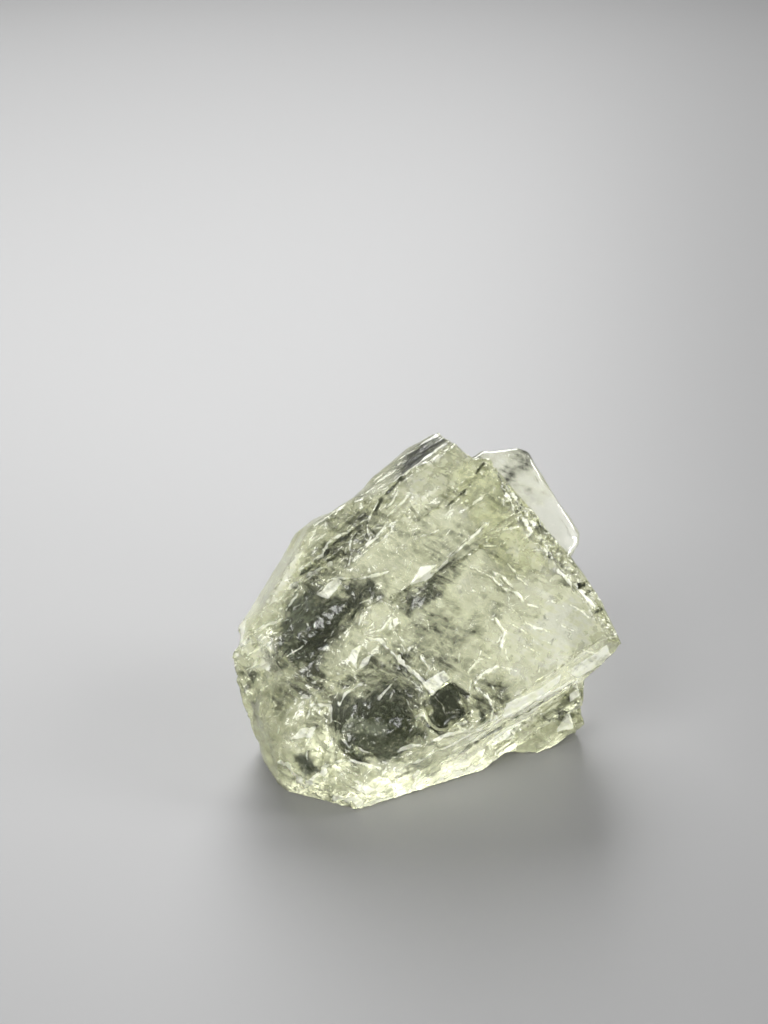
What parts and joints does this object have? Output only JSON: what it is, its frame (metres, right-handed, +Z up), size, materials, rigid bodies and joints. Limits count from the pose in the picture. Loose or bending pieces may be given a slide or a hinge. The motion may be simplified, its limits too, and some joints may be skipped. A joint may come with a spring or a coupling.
{
  "type": "fluorite specimen",
  "caption": "Hand specimen of translucent pale green fluorite: a stepped, broken cube-shaped crystal with a smaller clear crystal grown into its side, resting on a cleaved flat.",
  "frame": {"origin": "on the cleaved underside's plane, under the middle of the overall box", "axes": "+Z up; -Y towards the stepped front face, which leans back 30 degrees; +X to the right of someone who faces it"},
  "size_m": [0.0318, 0.0256, 0.0262],
  "materials": {
    "green_fluorite": "natural broken mineral: glassy growth steps and cleavages, cloudy pale green inside, with clearer dark patches",
    "clear_fluorite": "natural crystal: glassy, almost colourless, lightly frosted"
  },
  "bodies": {
    "root": {"main_crystal": "green_fluorite", "rear_crystal": "clear_fluorite"}
  },
  "joints": []
}
